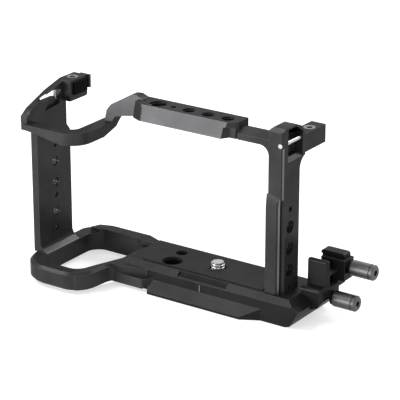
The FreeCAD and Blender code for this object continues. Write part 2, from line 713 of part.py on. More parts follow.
# Side pillar: slotted upright with its top link, strap pocket and lug ear
pillar = new_body("side_pillar")
head_low = pillar_top - S.pillar_head_tall
ear_top = pillar_top - S.ear_drop
ear_in = S.pillar_in - S.ear_inset
ear_out = S.pillar_out - S.ear_inset
strap_pocket_x = S.pillar_out - S.strap_pocket_deep
strap_pin_x = S.pillar_out - S.strap_pin_inset
pad(pillar, "upright", "YZ_Plane", [
    (S.pillar_front, S.base_top), (S.pillar_back, S.base_top), (S.pillar_back, head_low),
    (S.pillar_head_back, head_low), (S.pillar_head_back, pillar_top - 7),
    (S.pillar_head_back - 1.2, pillar_top - 4.4),
    (S.pillar_head_back - 3.7, pillar_top - 1.6), (S.pillar_head_back - 7.4, pillar_top),
    (S.pillar_front + 1.6, pillar_top),
    (S.pillar_front, pillar_top - 1.6),
], S.pillar_in, S.pillar_out)
dress(pillar, "Chamfer", "front_edge", S.pillar_bevel,
      lambda e: along(e, 2) and near(e, x=S.pillar_out, y=S.pillar_front))
dress(pillar, "Chamfer", "top_edge", S.pillar_top_bevel,
      lambda e: along(e, 1) and near(e, x=S.pillar_in, z=pillar_top))
pad(pillar, "ear", "YZ_Plane", box(S.pillar_head_back - 1, head_low, S.ear_back, ear_top), ear_in,
    ear_out)
dress(pillar, "Fillet", "ear_root", S.ear_fillet,
      lambda e: along(e, 0) and near(e, y=S.pillar_back, z=head_low))
pad(pillar, "thick_foot", "YZ_Plane", [
    (S.pillar_front - S.pillar_step_deep, S.base_top), (S.pillar_back - 1, S.base_top),
    (S.pillar_back - 1, S.pillar_step), (S.pillar_front, S.pillar_step + S.pillar_step_run / 2),
    (S.pillar_front - S.pillar_step_deep, S.pillar_step - S.pillar_step_run / 2),
], S.pillar_in - S.pillar_step_deep, S.pillar_out - 1)
rebate_x = S.pillar_out - S.rebate_deep
pocket(pillar, "rebate", "XY_Plane", [
    (rebate_x - S.rebate_bevel, S.pillar_front - S.pillar_step_deep - 0.1),
    (rebate_x, S.pillar_front + 1.2),
    (rebate_x, S.rebate_back - 0.8), (S.pillar_out, S.rebate_back), (S.pillar_out + 1, S.rebate_back),
    (S.pillar_out + 1, S.pillar_front - 2), (rebate_x - S.rebate_bevel, S.pillar_front - 2),
], S.base_top - 1, S.rebate_top)
link_top = rail_top - S.link_drop
pad(pillar, "link", "YZ_Plane", [
    (S.link_front, rail_bottom), (S.link_back, rail_bottom), (S.link_back, link_top),
    (S.link_back - 1.6, link_top), (S.link_front, rail_top - S.link_crease_drop),
], S.rail_right, S.pillar_in + 1)
dress(pillar, "Fillet", "link_root", S.link_fillet,
      lambda e: along(e, 1) and near(e, x=S.pillar_in, z=rail_bottom))
pocket_low = pillar_top - S.strap_pocket_low_drop
pocket(pillar, "strap_pocket", "XY_Plane",
       box(strap_pocket_x, S.strap_pocket_front, S.pillar_out + 1, S.strap_pocket_back),
       pocket_low, pillar_top - S.strap_pocket_high_drop)
pocket(pillar, "strap_ramp", "XZ_Plane", [
    (S.pillar_out - 1.6, pocket_low + 0.1), (S.pillar_out, pocket_low - 1.6),
    (S.pillar_out + 1, pocket_low - 1.6),
    (S.pillar_out + 1, pocket_low + 0.1),
], S.strap_pocket_front, S.strap_pocket_back)
strap_pin_z = pillar_top - S.strap_pin_drop
strap_pin_back = S.strap_pocket_back + S.strap_pin_end
bores(pillar, "strap_pin_bore", "XZ_Plane", [(strap_pin_x, strap_pin_z)], S.strap_pin_r,
      S.pillar_front - 1, strap_pin_back)
pillar_threads = [(S.pillar_hole_y, S.pillar_hole_mid + S.hole_pitch * k) for k in (-1, 0, 1)]
bores(pillar, "threads", "YZ_Plane", pillar_threads, S.thread_r, S.pillar_in - 1, S.pillar_out + 1)
pillar_pins = [(S.pillar_hole_y, S.pillar_hole_mid + S.pillar_pin_reach * k) for k in (-1, 1)]
bores(pillar, "pin_holes", "YZ_Plane", pillar_pins, S.pin_hole_r, S.pillar_out - S.locating_deep,
      S.pillar_out + 1)
ear_screw_x = (ear_in + ear_out) / 2
bores(pillar, "ear_screw_bore", "XY_Plane", [(ear_screw_x, S.ear_screw_y)], S.lug_screw_r + S.running_gap,
      head_low - 1, ear_top + 1)
bores(pillar, "ear_screw_well", "XY_Plane", [(ear_screw_x, S.ear_screw_y)],
      S.lug_screw_head_r + S.running_gap,
      ear_top - S.lug_screw_head, ear_top + 1)


def socket_screw(label, x, y, top, long):
    """Short socket screw that presses on the camera's strap lug, head up."""
    screw = new_body(label)
    seat = top - S.lug_screw_head
    extrude(screw, "Pad", "head", "XY_Plane", [(x, y, S.lug_screw_head_r)], seat, top)
    extrude(screw, "Pad", "shank", "XY_Plane", [(x, y, S.lug_screw_r)], seat - long, seat)
    pocket(screw, "socket", "XY_Plane", hexagon(x, y, S.socket_across), top - 1.2, top + 1)
    return screw


socket_screw("lug_screw_left", S.wall_in, size(0), crown_top, S.lug_screw_long)
socket_screw("lug_screw_right", ear_screw_x, S.ear_screw_y, ear_top, S.lug_screw_long - 1)

# Rubber pad on the lug block, towards the camera
lug_pad = new_body("lug_pad")
pad(lug_pad, "sheet", "YZ_Plane", box(S.lug_front + 2, lug_bottom + 2.6, S.lug_back - 1, crown_top - 1.2),
    S.lug_in, S.lug_in + S.lug_pad_thick)

# Rubber pad on the ear's inner face, towards the camera
ear_pad = new_body("ear_pad")
pad(ear_pad, "sheet", "YZ_Plane", box(S.pillar_head_back + 4, head_low + 1, S.ear_back - 3, ear_top - 1),
    ear_in - S.lug_pad_thick, ear_in)

# Steel strap pins: one upright in the grip wall's slot, one level across the pillar's pocket
left_pin = new_body("strap_pin_left")
extrude(left_pin, "Pad", "rod", "XY_Plane", [(S.wall_in - S.wall_thick / 2, S.left_pin_y, S.left_pin_r)],
        left_pin_low, left_pin_high)
strap_pin = new_body("strap_pin_right")
extrude(strap_pin, "Pad", "rod", "XZ_Plane", [(strap_pin_x, strap_pin_z, S.strap_pin_r)],
        S.pillar_front, strap_pin_back)

# Tripod screw: captive in the base by its keeper ring
screw = new_body("tripod_screw")
screw_low = S.tripod_well_depth - S.tripod_head - S.keeper_thick - S.running_gap * 4
extrude(screw, "Pad", "head", "XY_Plane", [(0, 0, S.tripod_head_r)], screw_low, screw_low + S.tripod_head)
thread_low = S.base_top - S.tripod_ring_depth
extrude(screw, "Pad", "neck", "XY_Plane", [(0, 0, S.tripod_neck_r)], screw_low + S.tripod_head, thread_low)
extrude(screw, "Pad", "thread", "XY_Plane", [(0, 0, S.tripod_thread_r)], thread_low,
        S.base_top + S.tripod_rise)
pocket(screw, "coin_slot", "XY_Plane", box(-S.tripod_head_r - 1, -S.tripod_slot / 2, S.tripod_head_r + 1,
                                           S.tripod_slot / 2),
       -1, screw_low + S.tripod_slot * 0.75)
keeper = new_body("screw_keeper")
extrude(keeper, "Pad", "ring", "XY_Plane", [(0, 0, S.keeper_r), (0, 0, S.tripod_neck_r + S.running_gap)],
        S.tripod_well_depth - S.keeper_thick, S.tripod_well_depth)

# Cable clamp body: foot on the base's end, front plate and the shelf between two plug channels
clamp = new_body("clamp_body")
pad(clamp, "foot", "XZ_Plane", [
    (S.clamp_left, S.clamp_bottom), (S.clamp_right - 5, S.clamp_bottom),
    (S.clamp_right - 2, S.clamp_bottom + 1),
    (S.clamp_right, S.clamp_bottom + 4), (S.clamp_right, S.clamp_floor), (S.clamp_left, S.clamp_floor),
], S.clamp_front, S.clamp_foot_back)
dress(clamp, "Fillet", "foot_front", S.clamp_round,
      lambda e: along(e, 2) and near(e, x=S.clamp_right, y=S.clamp_front))
dress(clamp, "Fillet", "foot_top", S.clamp_round,
      lambda e: along(e, 0) and near(e, y=S.clamp_front, z=S.clamp_floor))
pad(clamp, "sill", "YZ_Plane", [
    (S.clamp_foot_back - 1, S.clamp_sill), (S.clamp_back - 2, S.clamp_sill),
    (S.clamp_back, S.clamp_sill + 2),
    (S.clamp_back, S.clamp_floor), (S.clamp_foot_back - 1, S.clamp_floor),
], S.clamp_left, S.clamp_right)
pad(clamp, "front_plate", "XZ_Plane", box(S.clamp_left, S.clamp_floor - 1, S.clamp_right, S.clamp_top),
    S.clamp_plate_front, S.clamp_plate_back)
dress(clamp, "Fillet", "plate_corner", S.plate_round, lambda e: along(e, 1) and near(e, z=S.clamp_top))
dress(clamp, "Fillet", "plate_side", S.plate_round,
      lambda e: along(e, 2) and near(e, x=S.clamp_right,
                                     y=S.clamp_plate_front) and middle(e).z > S.clamp_floor.value)
pad(clamp, "shelf", "XZ_Plane", box(S.clamp_left + 0.6, S.shelf_low, S.clamp_right - 0.2, S.shelf_high),
    S.clamp_plate_back - 0.5, S.shelf_back)
pad(clamp, "tongue", "XZ_Plane", box(S.tongue_left, S.clamp_floor - 1, S.tongue_right, S.tongue_top),
    S.tongue_front, S.clamp_back)
bores(clamp, "mount_bore", "YZ_Plane", [(S.mount_y, S.mount_z)], S.knob_screw_r + S.running_gap,
      S.clamp_left - 1, S.clamp_right + 1)
bores(clamp, "lock_thread", "YZ_Plane", [(S.lock_y, S.lock_z)], S.knob_screw_r + S.running_gap,
      S.tongue_left - 1, S.tongue_right + 1)

# Clamp jaw: saddle that slides back on the tongue and opens both channels
jaw = new_body("clamp_jaw")
pad(jaw, "block", "XY_Plane", box(S.clamp_left + 1.6, S.jaw_front, S.jaw_right, S.clamp_back),
    S.jaw_bottom, S.jaw_shoulder)
pad(jaw, "back_plate", "XY_Plane", box(S.clamp_left, S.jaw_plate_front, S.jaw_cap_right, S.clamp_back),
    S.jaw_bottom, S.clamp_top)
pad(jaw, "hook", "XY_Plane", box(S.clamp_left, S.jaw_plate_front - S.jaw_lip, S.jaw_cap_right,
                                 S.jaw_plate_front + 1),
    S.clamp_top - 1.8, S.clamp_top)
dress(jaw, "Fillet", "cap_corners", S.plate_round, lambda e: along(e, 1) and near(e, z=S.clamp_top))
pocket(jaw, "saddle", "YZ_Plane", box(S.jaw_front - 1.2, S.jaw_bottom - 1, S.clamp_back + 1,
                                      S.tongue_top + S.jaw_wall_gap),
       S.tongue_left - S.jaw_wall_gap, S.tongue_right + S.jaw_wall_gap)
slot_r = S.knob_screw_r + S.running_gap * 5
slot_start = S.lock_y - S.jaw_travel
pocket(jaw, "lock_slot", "YZ_Plane", box(slot_start - slot_r, S.lock_z - slot_r, S.lock_y + slot_r,
                                         S.lock_z + slot_r),
       S.tongue_right, S.jaw_right + 1)


def thumb_screw(label, y, z, seat, reach):
    """Thumb knob with its screw, axis along X; seat is the face under its washer."""
    knob = new_body(label)
    face = seat + S.running_gap
    start = face + S.washer_thick
    extrude(knob, "Pad", "grip", "YZ_Plane", [(y, z, S.knob_r)], start + S.knob_neck,
            start + S.knob_neck + S.knob_long)
    extrude(knob, "Pad", "neck", "YZ_Plane", [(y, z, S.knob_neck_r)], start, start + S.knob_neck)
    extrude(knob, "Pad", "shank", "YZ_Plane", [(y, z, S.knob_screw_r)], seat - reach, start)
    end = start + S.knob_neck + S.knob_long
    pocket(knob, "socket", "YZ_Plane", hexagon(y, z, S.socket_across), end - S.socket_deep, end + 1)
    dress(knob, "Chamfer", "grip_edges", S.knob_bevel, lambda e: e.Curve.TypeId == "Part::GeomCircle"
          and abs(e.Curve.Radius - S.knob_r.value) < 0.01)
    ring = end - S.knob_ring_from_end
    extrude(knob, "Pocket", "ring", "YZ_Plane", [(y, z, S.knob_r + 1), (y, z, S.knob_r - S.knob_ring_deep)],
            ring - S.knob_ring_wide, ring)
    washer = new_body(label.replace("knob", "washer"))
    extrude(washer, "Pad", "ring", "YZ_Plane", [(y, z, S.washer_r), (y, z, S.knob_screw_r + S.running_gap)],
            face, start)
    return knob


thumb_screw("mount_knob", S.mount_y, S.mount_z, S.clamp_right, S.mount_reach)
thumb_screw("lock_knob", S.lock_y, S.lock_z, S.jaw_right, S.lock_reach)

doc.recompute()
bad = [item.Name for item in doc.Objects if "Invalid" in item.State or "Error" in item.State]
if bad:
    raise RuntimeError("failed objects: " + ", ".join(bad))
for body in PARTS:
    if body.Shape.isNull() or not body.Shape.isValid():
        raise RuntimeError(f"bad shape: {body.Label}")

os.makedirs("parts", exist_ok=True)
for body in PARTS:
    body.Shape.exportStep(f"parts/{body.Label}.step")
    print(f"{body.Label:22s} solids {len(body.Shape.Solids)} volume {body.Shape.Volume:9.1f}")
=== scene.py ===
import json
import math
import bmesh
import bpy
from mathutils import Matrix, Vector

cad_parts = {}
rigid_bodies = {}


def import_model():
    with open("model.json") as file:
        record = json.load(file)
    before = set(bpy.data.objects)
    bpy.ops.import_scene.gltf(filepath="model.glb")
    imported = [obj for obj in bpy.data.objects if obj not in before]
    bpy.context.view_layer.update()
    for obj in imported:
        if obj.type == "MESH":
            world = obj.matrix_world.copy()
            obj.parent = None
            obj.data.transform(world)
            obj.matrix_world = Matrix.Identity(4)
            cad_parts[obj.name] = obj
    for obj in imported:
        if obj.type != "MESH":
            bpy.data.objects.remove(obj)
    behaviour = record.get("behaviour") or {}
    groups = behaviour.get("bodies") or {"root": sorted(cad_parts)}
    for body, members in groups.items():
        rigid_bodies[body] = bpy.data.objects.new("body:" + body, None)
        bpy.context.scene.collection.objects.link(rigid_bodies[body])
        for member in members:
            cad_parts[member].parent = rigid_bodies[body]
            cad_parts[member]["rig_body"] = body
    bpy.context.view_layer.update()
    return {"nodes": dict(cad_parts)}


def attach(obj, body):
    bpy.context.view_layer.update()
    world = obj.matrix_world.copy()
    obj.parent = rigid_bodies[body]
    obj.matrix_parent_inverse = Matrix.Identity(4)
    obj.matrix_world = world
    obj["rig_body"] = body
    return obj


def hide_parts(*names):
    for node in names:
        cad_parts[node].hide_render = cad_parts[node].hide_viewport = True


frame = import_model()
MM = 0.001

# Camera: a long lens from the front right and above, as in the photograph. A focal length of
# 1950 px in a 400 px frame gives the lens, and the distance comes from the size of the cage.
AIM_MM = Vector((-14.8, 7.6, 38.4))
AZIMUTH = math.radians(34.39)
ELEVATION = math.radians(20.81)
DISTANCE_MM = 864.0
FOCAL_PX = 1950.0
FRAME_PX = 400.0
SENSOR_MM = 36.0
CLIP_START_M = 0.05


def added(name, data):
    """A new object with this data, linked into the scene."""
    made = bpy.data.objects.new(name, data)
    bpy.context.scene.collection.objects.link(made)
    return made


reach = math.cos(ELEVATION)
away = Vector((math.sin(AZIMUTH) * reach, -math.cos(AZIMUTH) * reach, math.sin(ELEVATION)))
across = Vector((math.cos(AZIMUTH), math.sin(AZIMUTH), 0.0))
upward = away.cross(across)
view_turn = Matrix((across, upward, away)).transposed().to_4x4()
camera = added("camera", bpy.data.cameras.new("camera"))
camera.data.lens = FOCAL_PX / FRAME_PX * SENSOR_MM
camera.data.sensor_width = SENSOR_MM
camera.data.clip_start = CLIP_START_M
camera.matrix_world = Matrix.Translation((AIM_MM + away * DISTANCE_MM) * MM) @ view_turn
bpy.context.scene.camera = camera
bpy.context.scene.view_settings.view_transform = "Standard"

# Floor and backdrop: one white sweep under and around the cage, pure white to the camera and
# in reflections, as in a catalogue picture, with the cage's own soft shadow kept on it.
WHITE = (1.0, 1.0, 1.0, 1.0)
PAPER_GREY = (0.6, 0.6, 0.6, 1.0)
PAPER_GLOW = 0.6
ROOM_STRENGTH = 0.5
BACKDROP_STRENGTH = 1.0
FLOOR_HALF_M = 1.6


def node(tree, kind, values=None, links=None, **settings):
    """Adds a node, sets its settings and input values, and links its inputs."""
    made = tree.nodes.new(kind)
    for name, value in settings.items():
        setattr(made, name, value)
    for key, value in (values or {}).items():
        made.inputs[key].default_value = value
    for key, source in (links or {}).items():
        tree.links.new(source, made.inputs[key])
    return made


def blank_material(name):
    """A material with an empty node tree."""
    material = bpy.data.materials.new(name)
    material.use_nodes = True
    material.node_tree.nodes.clear()
    return material


def seen_or_mirrored(tree):
    """1 for rays from the camera, from glossy surfaces and through clear ones."""
    path = node(tree, "ShaderNodeLightPath")
    first = node(tree, "ShaderNodeMath", operation="MAXIMUM",
                 links={0: path.outputs["Is Camera Ray"], 1: path.outputs["Is Glossy Ray"]})
    return node(tree, "ShaderNodeMath", operation="MAXIMUM",
                links={0: first.outputs[0], 1: path.outputs["Is Transmission Ray"]}).outputs[0]


world = bpy.data.worlds.new("studio")
world.use_nodes = True
sky = world.node_tree
sky.nodes.clear()
room = node(sky, "ShaderNodeBackground", values={"Color": WHITE, "Strength": ROOM_STRENGTH})
backdrop = node(sky, "ShaderNodeBackground", values={"Color": WHITE, "Strength": BACKDROP_STRENGTH})
choice = node(sky, "ShaderNodeMixShader",
              links={0: seen_or_mirrored(sky), 1: room.outputs[0], 2: backdrop.outputs[0]})
node(sky, "ShaderNodeOutputWorld", links={"Surface": choice.outputs[0]})
bpy.context.scene.world = world

paper = blank_material("white_paper_sweep")
sheet = paper.node_tree
matt = node(sheet, "ShaderNodeBsdfDiffuse", values={"Color": PAPER_GREY})
glow = node(sheet, "ShaderNodeEmission", values={"Color": WHITE, "Strength": PAPER_GLOW})
lit = node(sheet, "ShaderNodeAddShader", links={0: matt.outputs[0], 1: glow.outputs[0]})
pick = node(sheet, "ShaderNodeMixShader",
            links={0: seen_or_mirrored(sheet), 1: matt.outputs[0], 2: lit.outputs[0]})
node(sheet, "ShaderNodeOutputMaterial", links={"Surface": pick.outputs[0]})

floor_mesh = bpy.data.meshes.new("floor")
floor_corners = [(x * FLOOR_HALF_M, y * FLOOR_HALF_M, 0.0) for x, y in ((-1, -1), (1, -1), (1, 1), (-1, 1))]
floor_mesh.from_pydata(floor_corners, [], [(0, 1, 2, 3)])
floor_mesh.materials.append(paper)
added("floor", floor_mesh)

# Lamps: a low wide box in front on the left, which the faces that lean back mirror, boxes high
# on the left and behind on the right for the slopes, a low strip on the right for the upright
# edges, and a weak one overhead for the decks.
LAMP_TARGET_M = Vector((-0.01, 0.0, 0.04))
for name, place, size_m, watts in (
    ("low_front_box", (-0.50, -0.79, 0.11), (0.50, 0.15), 7.4),
    ("high_left_box", (-0.54, -0.35, 0.80), (0.35, 0.35), 5.0),
    ("back_right_box", (0.35, 0.78, 0.58), (0.35, 0.30), 2.8),
    ("back_box", (-0.12, 0.76, 0.74), (0.35, 0.30), 4.2),
    ("low_right_strip", (0.78, -0.55, 0.14), (0.16, 0.24), 1.6),
    ("overhead_box", (-0.10, 0.10, 0.95), (0.8, 0.6), 0.6),
):
    lamp = bpy.data.lights.new(name, "AREA")
    lamp.shape = "RECTANGLE"
    lamp.size, lamp.size_y = size_m
    lamp.energy = watts
    carrier = added(name, lamp)
    carrier.location = place
    carrier.rotation_euler = (LAMP_TARGET_M - Vector(place)).to_track_quat("-Z", "Y").to_euler()

# Cage frame: one ring milled from aluminium plate, bead-blasted and hard-anodised to a dark
# grey satin, with thin paler lines along the broken edges: painted highlight of these edges,
# together with handling wear. The blasting's grit is too fine to show, so its grain is drawn
# at about a third of a millimetre.
GRIT_MM = 0.35
CLOUD_MM = 14.0
GRAIN_SHARE = 0.35
TONE_RANGE = (0.45, 0.95)
# Pale colour mixed in along the edges: painted highlight of the broken edges, together with handling wear.
EDGE_HIGHLIGHT_AND_WEAR = "#6a6a6c"
EDGE_HIGHLIGHT_REACH_MM = 0.35
EDGE_HIGHLIGHT_RANGE = (0.99, 0.85)
RELIEF_MM = 0.05
MIX_FACTOR, MIX_DARK, MIX_LIGHT, MIX_RESULT = 0, 6, 7, 2


def srgb(text):
    """An sRGB hex colour as linear RGBA."""
    parts = [int(text[i:i + 2], 16) / 255.0 for i in (1, 3, 5)]
    return tuple(p / 12.92 if p <= 0.04045 else ((p + 0.055) / 1.055) ** 2.4 for p in parts) + (1.0,)


def noise(tree, size_mm, detail):
    """A noise pattern on Object coordinates with features of this size."""
    place = node(tree, "ShaderNodeTexCoord").outputs["Object"]
    scale = 1.0 / (size_mm * MM)
    return node(tree, "ShaderNodeTexNoise", values={"Scale": scale, "Detail": detail},
                links={"Vector": place}).outputs["Fac"]


def highlit_worn_edges(tree, colour, edge):
    """The colour, paler along outer edges: a painted highlight of the broken edges, together with handling
    wear.
    """
    bevel = node(tree, "ShaderNodeBevel", samples=4, values={"Radius": EDGE_HIGHLIGHT_REACH_MM * MM})
    facing = node(tree, "ShaderNodeNewGeometry").outputs["Normal"]
    same = node(tree, "ShaderNodeVectorMath", operation="DOT_PRODUCT",
                links={0: bevel.outputs[0], 1: facing})
    flat, sharp = EDGE_HIGHLIGHT_RANGE
    edge_light_share = node(tree, "ShaderNodeMapRange", values={"From Min": flat, "From Max": sharp, "To Max": edge},
                links={"Value": same.outputs["Value"]})
    return node(tree, "ShaderNodeMix", data_type="RGBA", values={MIX_LIGHT: srgb(EDGE_HIGHLIGHT_AND_WEAR)},
                links={MIX_FACTOR: edge_light_share.outputs["Result"], MIX_DARK: colour}).outputs[MIX_RESULT]


def finish(name, dark, light, metallic, rough, rough_spread, bump, grain_mm, edge=0.0, **sockets):
    """A satin finish: cloudy tone, a fine grain in roughness and bump, and paler edges of painted highlight
    with wear.
    """
    material = blank_material(name)
    tree = material.node_tree
    cloud = noise(tree, CLOUD_MM, 3.0)
    grain = noise(tree, grain_mm, 2.0)
    blend = node(tree, "ShaderNodeMath", operation="MULTIPLY_ADD", values={1: GRAIN_SHARE},
                 links={0: grain, 2: cloud})
    low, high = TONE_RANGE
    tone = node(tree, "ShaderNodeMapRange", values={"From Min": low, "From Max": high},
                links={"Value": blend.outputs[0]})
    colour = node(tree, "ShaderNodeMix", data_type="RGBA",
                  values={MIX_DARK: srgb(dark), MIX_LIGHT: srgb(light)},
                  links={MIX_FACTOR: tone.outputs["Result"]}).outputs[MIX_RESULT]
    if edge:
        colour = highlit_worn_edges(tree, colour, edge)
    roughness = node(tree, "ShaderNodeMapRange",
                     values={"To Min": rough - rough_spread, "To Max": rough + rough_spread},
                     links={"Value": grain})
    relief = node(tree, "ShaderNodeBump", values={"Strength": bump, "Distance": RELIEF_MM * MM},
                  links={"Height": grain})
    shader = node(tree, "ShaderNodeBsdfPrincipled", values={"Metallic": metallic, **sockets},
                  links={"Base Color": colour, "Roughness": roughness.outputs["Result"],
                         "Normal": relief.outputs[0]})
    node(tree, "ShaderNodeOutputMaterial", links={"Surface": shader.outputs[0]})
    return material


ANODISED_BUMP = 0.2
ANODISED_ROUGH_SPREAD = 0.05
GLANCING_TINT = (0.3, 0.3, 0.3, 1.0)


def anodised_finish(name, dark, light, metallic, rough, edge, level):
    """A dyed anodised finish, whose sheen stays low at glancing angles."""
    return finish(name, dark, light, metallic, rough, ANODISED_ROUGH_SPREAD, ANODISED_BUMP, GRIT_MM,
                  edge=edge, **{"Specular IOR Level": level, "Specular Tint": GLANCING_TINT})


def lofted(rings):
    """A closed solid through rings of corners, given in millimetres."""
    shape = bmesh.new()
    loops = [[shape.verts.new(Vector(corner) * MM) for corner in ring] for ring in rings]
    shape.faces.new(loops[0])
    shape.faces.new(loops[-1])
    for before, after in zip(loops, loops[1:]):
        for k, corner in enumerate(before):
            shape.faces.new((before[k - 1], corner, after[k], after[k - 1]))
    bmesh.ops.recalc_face_normals(shape, faces=shape.faces)
    return shape


def mesh_object(name, shape, material=None):
    """An object with the mesh that was built, in one material."""
    mesh = bpy.data.meshes.new(name)
    shape.to_mesh(mesh)
    shape.free()
    if material:
        mesh.materials.append(material)
    return added(name, mesh)


def tool_solid(axis, outline, low, high, drift=(0.0, 0.0)):
    """A cutter: an outline across an axis, between two places along it, drifting sideways."""
    put = {"X": lambda along, a, b: (along, a, b), "Z": lambda along, a, b: (a, b, along)}[axis]
    da, db = drift
    return mesh_object("tool", lofted([[put(low, a, b) for a, b in outline],
                                       [put(high, a + da, b + db) for a, b in outline]]))


def applied(piece):
    """The piece's mesh with its modifiers worked in."""
    bpy.context.view_layer.update()
    done = bpy.data.meshes.new_from_object(piece.evaluated_get(bpy.context.evaluated_depsgraph_get()))
    piece.modifiers.clear()
    return done


def worked(piece, works):
    """Cuts away or joins on tool solids, one after another."""
    tools = []
    for operation, outline in works:
        tools.append(tool_solid(*outline))
        work = piece.modifiers.new(operation, "BOOLEAN")
        work.operation = operation
        work.solver = "EXACT"
        work.object = tools[-1]
    if tools:
        piece.data = applied(piece)
    for tool in tools:
        bpy.data.objects.remove(tool)


MERGE_MM = 0.004
FLAT_ANGLE = math.radians(0.6)
SHARP_ANGLE = math.radians(28.0)
SHORT_EDGE_MM = 1.0
FINE_EDGE = 0.4


def merged(mesh):
    """The mesh under construction again, with corners that lie together joined."""
    shape = bmesh.new()
    shape.from_mesh(mesh)
    bmesh.ops.remove_doubles(shape, verts=shape.verts, dist=MERGE_MM * MM)
    return shape


def marked(shape, sharp_angle, short_edge):
    """Marks sharp edges for rounding, and short ones by another share of the width."""
    weight = shape.edges.layers.float.new("bevel_weight_edge")
    for edge in shape.edges:
        if edge.is_manifold and edge.calc_face_angle(0.0) > sharp_angle:
            edge[weight] = 1.0 if edge.calc_length() > SHORT_EDGE_MM * MM else short_edge
    for face in shape.faces:
        face.smooth = True


def rounded(piece, edge_mm):
    """Rounds the marked edges and evens the shading of the flats."""
    bevel = piece.modifiers.new("broken_edges", "BEVEL")
    bevel.width = edge_mm * MM
    bevel.segments = 2
    bevel.limit_method = "WEIGHT"
    piece.modifiers.new("even_shading", "WEIGHTED_NORMAL")
    piece.data = applied(piece)


def dressed(label, cad_node, material, edge_mm, reshape=None, works=()):
    """A copy of a CAD node, worked further with tools, its edges broken, small holes less."""
    source = frame["nodes"][cad_node]
    shape = merged(source.data)
    if reshape:
        for corner in shape.verts:
            corner.co = reshape(corner.co / MM) * MM
    piece = mesh_object(label, shape, material)
    worked(piece, works)
    shape = merged(piece.data)
    bmesh.ops.dissolve_limit(shape, angle_limit=FLAT_ANGLE, verts=shape.verts, edges=shape.edges)
    for face in shape.faces:
        face.material_index = 0
    marked(shape, SHARP_ANGLE, FINE_EDGE)
    shape.to_mesh(piece.data)
    shape.free()
    rounded(piece, edge_mm)
    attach(piece, source["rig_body"])
    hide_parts(cad_node)
    return piece


WALL_HOLES = ((-13.6, 50.0), (-13.6, 40.0), (-13.6, 26.0))
WALL_HOLE_R = 2.9
WALL_HOLE_SCALE = 0.79
WALL_HOLE_NEAR = 0.2


def tapped_wall(at):
    """Draws the wall's holes in to the diameter of their thread crests."""
    for y, z in WALL_HOLES:
        out = Vector((at.y - y, at.z - z))
        if abs(out.length - WALL_HOLE_R) < WALL_HOLE_NEAR:
            return Vector((at.x, y + out.x * WALL_HOLE_SCALE, z + out.y * WALL_HOLE_SCALE))
    return at


SCREW_BORE_R = 4.6
SCREW_BORE_SCALE = 0.82
NEAR_MM = 0.1


def closed_bore(at):
    """Draws the bore round the tripod screw in to a narrow gap."""
    if abs(at.to_2d().length - SCREW_BORE_R) < NEAR_MM:
        return Vector((at.x * SCREW_BORE_SCALE, at.y * SCREW_BORE_SCALE, at.z))
    return at


BAND_CORNER = Vector((-76.64, -28.44))
BAND_CORNER_R = 5.76
BAND_SQUARENESS = 0.65
BAND_LOW = 67.4
BAND_LIFT_LEFT = -76.0
BAND_LIFT_SLOPE = 0.36
WALL_FRONT = -26.3


def full_band_corner(at):
    """Fills out the upper band's left front corner and lifts its underside towards the front."""
    out = at.to_2d() - BAND_CORNER
    if out.x < 0 and out.y < 0 and out.length > BAND_CORNER_R - NEAR_MM:
        square = BAND_CORNER_R / max(-out.x, -out.y)
        out *= 1.0 - BAND_SQUARENESS + BAND_SQUARENESS * square
        at = Vector((*(BAND_CORNER + out), at.z))
    if at.z < BAND_LOW + NEAR_MM and at.x < BAND_LIFT_LEFT and at.y < WALL_FRONT:
        at = Vector((at.x, at.y, at.z + BAND_LIFT_SLOPE * (WALL_FRONT - at.y)))
    return at


# Tools that finish the milling, each with its axis, the outline across it and its two ends.
# The deck's front bevel is narrower beside the screw, and the lower loop runs into the foot by
# a small corner and a slope above the insert.
DECK_BEVEL = ("X", ((-14.8, 9.6), (-12.15, 10.6), (-12.15, 12.3), (-14.8, 12.3)), -12.2, 13.6)
FOOT_CORNER = ("Z", ((-29.0, -18.5), (-27.8, -18.4), (-25.3, -15.0), (-24.4, -14.55),
                     (-24.4, -13.0), (-29.0, -13.0)), 1.8, 6.2)
LOOP_SLOPE = ("Z", ((-41.5, -18.8), (-27.9, -14.5), (-27.9, -18.8)), 6.3, 10.3)
# The rail's left nose leans back with the rail's face and has a slanting chamfer. The strap
# pocket at the top of the pillar opens upwards.
RAIL_DRIFT = (0.4, 1.4)
RAIL_NOSE = ("Z", ((-37.0, -9.15), (-37.0, -11.6), (-32.0, -14.0), (-31.0, -14.0), (-31.0, -9.15)),
             78.0, 85.3, RAIL_DRIFT)
NOSE_CHAMFER = ("Z", ((-37.6, -11.31), (-31.6, -14.19), (-37.6, -14.9)), 77.9, 85.4, RAIL_DRIFT)
POCKET_MOUTH = ("X", ((-6.6, 81.9), (-6.6, 85.5), (-0.6, 85.5), (2.6, 84.0), (4.6, 81.9)), 35.2, 39.8)

anodised = anodised_finish("hard_anodised_aluminium", "#2f2f30", "#3c3c3d", 0.45, 0.34, 0.3, 0.06)
# The base gets a darker copy of the same anodised finish: painted shade on the foot.
anodised_foot_painted_shade = anodised_finish("hard_anodised_foot_painted_shade", "#1f1f20", "#29292a", 0.3, 0.34, 0.3, 0.06)
for cad_node, surface, edge_mm, reshape, works in (
    ("base_plate", anodised_foot_painted_shade, 0.35, closed_bore, [("DIFFERENCE", DECK_BEVEL)]),
    ("grip_wall", anodised, 0.4, tapped_wall, ()),
    ("lower_grip_loop", anodised, 0.9, None, [("UNION", FOOT_CORNER), ("DIFFERENCE", LOOP_SLOPE)]),
    ("upper_grip_loop", anodised, 1.1, full_band_corner, ()),
    ("top_rail", anodised, 0.35, None, [("UNION", RAIL_NOSE), ("DIFFERENCE", NOSE_CHAMFER)]),
    ("side_pillar", anodised, 0.4, None, [("DIFFERENCE", POCKET_MOUTH)]),
):
    milled = dressed(cad_node + "_milled", cad_node, surface, edge_mm, reshape=reshape, works=works)
